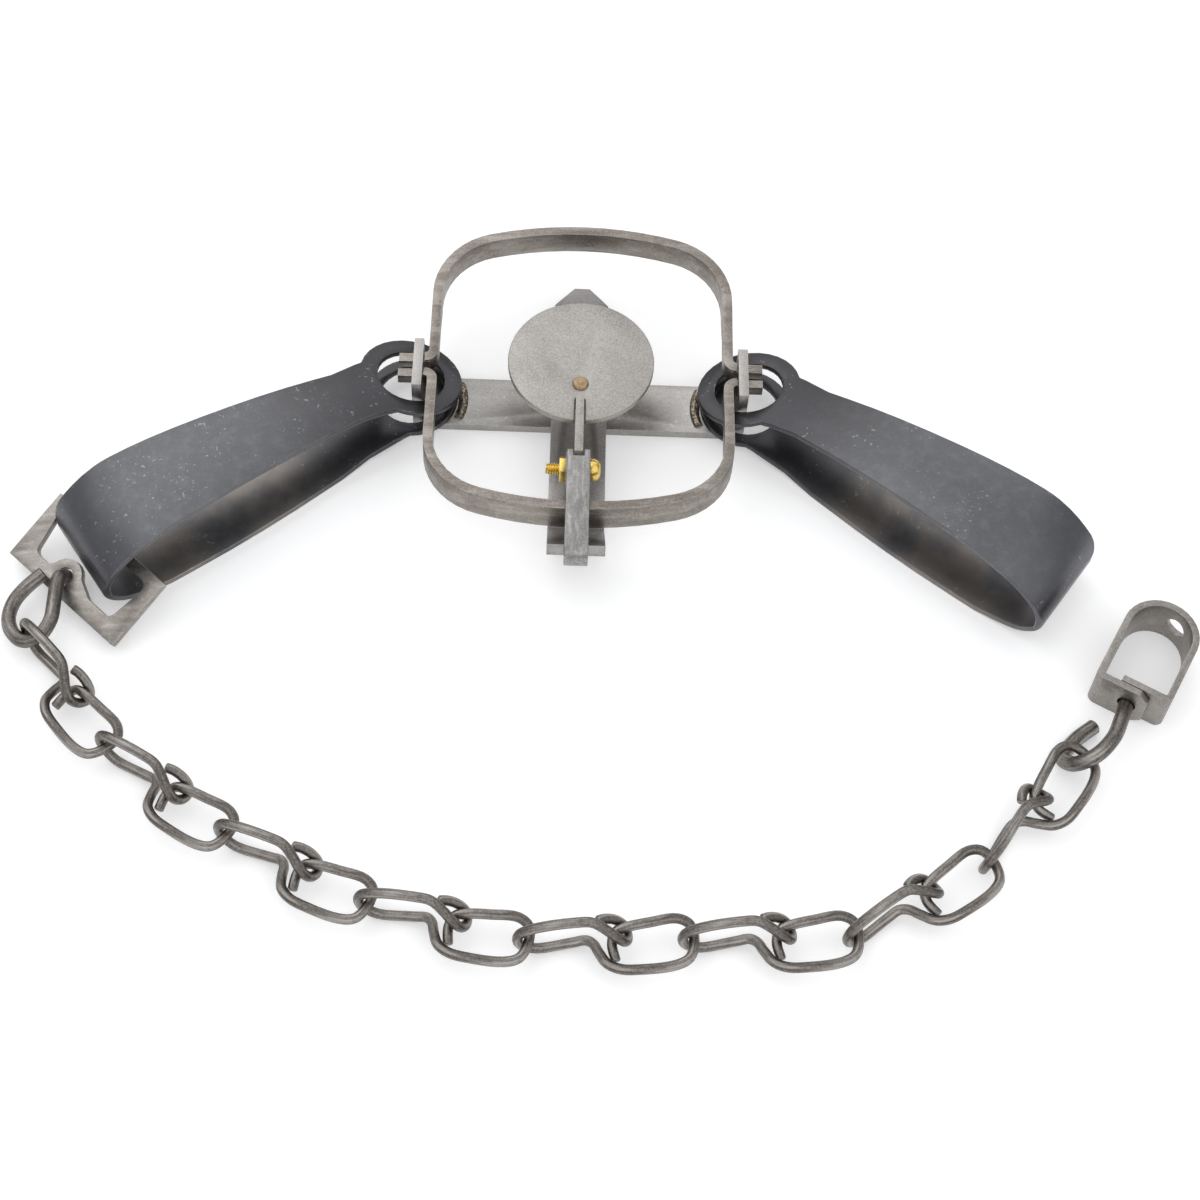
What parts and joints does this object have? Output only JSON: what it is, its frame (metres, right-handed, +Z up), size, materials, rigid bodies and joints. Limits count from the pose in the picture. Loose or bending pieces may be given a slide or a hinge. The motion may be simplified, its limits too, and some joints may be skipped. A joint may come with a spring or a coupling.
{
  "type": "long spring trap",
  "caption": "Double long spring foothold trap shown set, with flat springs, jaws, pan and dog, and a knotted wire chain ending in a swivel strap.",
  "frame": {"origin": "centre of the cross strip's underside, on the ground", "axes": "+Z up, +X along the cross strip to the right spring, +Y to the rear, away from the dog and the chain"},
  "size_m": [0.3573, 0.2479, 0.0315],
  "materials": {
    "base_steel": "mid grey rolled steel, slightly scratched",
    "jaw_steel": "light grey steel with faint brown mottling",
    "pan_steel": "light grey sheet steel, fine grain",
    "blued_steel": "dark tempered spring steel, blue-grey with brown heat tint",
    "bracket_steel": "light warm grey stamped steel",
    "wire_steel": "brownish dark grey wire",
    "strap_steel": "grey strip steel",
    "brass": "dull brass"
  },
  "bodies": {
    "base": {"base_cross": "base_steel", "base_arm": "base_steel", "frame_rivet": "base_steel", "left_weld_bead": "base_steel", "right_weld_bead": "base_steel", "pan_post": "base_steel", "pan_bolt": "brass", "pan_nut": "brass"},
    "front_jaw": {"front_jaw": "jaw_steel"},
    "rear_jaw": {"rear_jaw": "jaw_steel"},
    "dog": {"dog": "base_steel"},
    "pan": {"pan": "pan_steel", "pan_shank": "pan_steel", "pan_rivet": "brass"},
    "left_spring": {"left_spring_lower": "blued_steel"},
    "left_spring_upper": {"left_spring_upper": "blued_steel"},
    "right_spring": {"right_spring_lower": "blued_steel"},
    "right_spring_upper": {"right_spring_upper": "blued_steel"},
    "chain_bracket": {"chain_bracket": "bracket_steel"},
    "chain_hook": {"chain_hook": "wire_steel"},
    "link_1": {"link_1": "wire_steel"},
    "link_2": {"link_2": "wire_steel"},
    "link_3": {"link_3": "wire_steel"},
    "link_4": {"link_4": "wire_steel"},
    "link_5": {"link_5": "wire_steel"},
    "link_6": {"link_6": "wire_steel"},
    "link_7": {"link_7": "wire_steel"},
    "link_8": {"link_8": "wire_steel"},
    "swivel_eye": {"swivel_eye": "wire_steel"},
    "swivel_strap": {"swivel_strap": "strap_steel"}
  },
  "joints": [
    {"name": "front_jaw_close", "type": "hinge", "parent": "base", "child": "front_jaw", "pos_m": [0, -0.00305, 0.0203], "axis": [-1, 0, 0], "range_deg": [0, 86]},
    {"name": "rear_jaw_close", "type": "hinge", "parent": "base", "child": "rear_jaw", "pos_m": [0, 0.00305, 0.0203], "axis": [1, 0, 0], "range_deg": [0, 86]},
    {"name": "dog_throw", "type": "hinge", "parent": "base", "child": "dog", "pos_m": [0, -0.0665, 0.0227], "axis": [1, 0, 0], "range_deg": [0, 207]},
    {"name": "pan_tilt", "type": "hinge", "parent": "base", "child": "pan", "pos_m": [0, -0.0335, 0.016], "axis": [-1, 0, 0], "range_deg": [0, 12]},
    {"name": "left_spring_swing", "type": "hinge", "parent": "base", "child": "left_spring", "pos_m": [-0.0534, 0, 0], "axis": [0, 0, 1], "range_deg": [-35, 3]},
    {"name": "left_spring_flex", "type": "hinge", "parent": "left_spring", "child": "left_spring_upper", "pos_m": [-0.14788, -0.06764, 0.01185], "axis": [0.5821, -0.8131, 0], "range_deg": [0, 2.6]},
    {"name": "right_spring_swing", "type": "hinge", "parent": "base", "child": "right_spring", "pos_m": [0.0534, 0, 0], "axis": [0, 0, 1], "range_deg": [-3, 35]},
    {"name": "right_spring_flex", "type": "hinge", "parent": "right_spring", "child": "right_spring_upper", "pos_m": [0.14788, -0.06764, 0.01185], "axis": [0.5821, 0.8131, 0], "range_deg": [0, 2.6]},
    {"name": "chain_bracket_swing", "type": "hinge", "parent": "left_spring", "child": "chain_bracket", "pos_m": [-0.1554, -0.05457, 0.012], "axis": [0, 0, 1], "range_deg": [-10, 1]},
    {"name": "chain_hook_swing", "type": "hinge", "parent": "chain_bracket", "child": "chain_hook", "pos_m": [-0.15327, -0.07251, 0.00717], "axis": [0, 0, 1], "range_deg": [-6, 0.5]},
    {"name": "link_1_swing", "type": "hinge", "parent": "chain_hook", "child": "link_1", "pos_m": [-0.16121, -0.09238, 0.0083], "axis": [0, 0, 1], "range_deg": [-20, 0.5]},
    {"name": "link_2_swing", "type": "hinge", "parent": "link_1", "child": "link_2", "pos_m": [-0.13362, -0.12834, 0.0083], "axis": [0, 0, 1], "range_deg": [-20, 0.5]},
    {"name": "link_3_swing", "type": "hinge", "parent": "link_2", "child": "link_3", "pos_m": [-0.09658, -0.15446, 0.0083], "axis": [0, 0, 1], "range_deg": [-20, 0.5]},
    {"name": "link_4_swing", "type": "hinge", "parent": "link_3", "child": "link_4", "pos_m": [-0.05568, -0.17397, 0.0083], "axis": [0, 0, 1], "range_deg": [-20, 1]},
    {"name": "link_5_swing", "type": "hinge", "parent": "link_4", "child": "link_5", "pos_m": [-0.01138, -0.18355, 0.0083], "axis": [0, 0, 1], "range_deg": [-20, 2]},
    {"name": "link_6_swing", "type": "hinge", "parent": "link_5", "child": "link_6", "pos_m": [0.03391, -0.18181, 0.0083], "axis": [0, 0, 1], "range_deg": [-20, 4]},
    {"name": "link_7_swing", "type": "hinge", "parent": "link_6", "child": "link_7", "pos_m": [0.07917, -0.17944, 0.0083], "axis": [0, 0, 1], "range_deg": [-20, 4]},
    {"name": "link_8_swing", "type": "hinge", "parent": "link_7", "child": "link_8", "pos_m": [0.11835, -0.15664, 0.0083], "axis": [0, 0, 1], "range_deg": [-20, 4]},
    {"name": "swivel_eye_swing", "type": "hinge", "parent": "link_8", "child": "swivel_eye", "pos_m": [0.14778, -0.12218, 0.0083], "axis": [0, 0, 1], "range_deg": [-20, 2]},
    {"name": "swivel_turn", "type": "hinge", "parent": "swivel_eye", "child": "swivel_strap", "pos_m": [0.16363, -0.10318, 0.0075], "axis": [0.4848, 0.8746, 0], "continuous": true}
  ],
  "couplings": [
    {"joint": "rear_jaw_close", "follows": "front_jaw_close", "ratio": 1},
    {"joint": "dog_throw", "follows": "front_jaw_close", "ratio": 2.4},
    {"joint": "left_spring_flex", "follows": "front_jaw_close", "ratio": 0.03},
    {"joint": "right_spring_flex", "follows": "front_jaw_close", "ratio": 0.03}
  ]
}
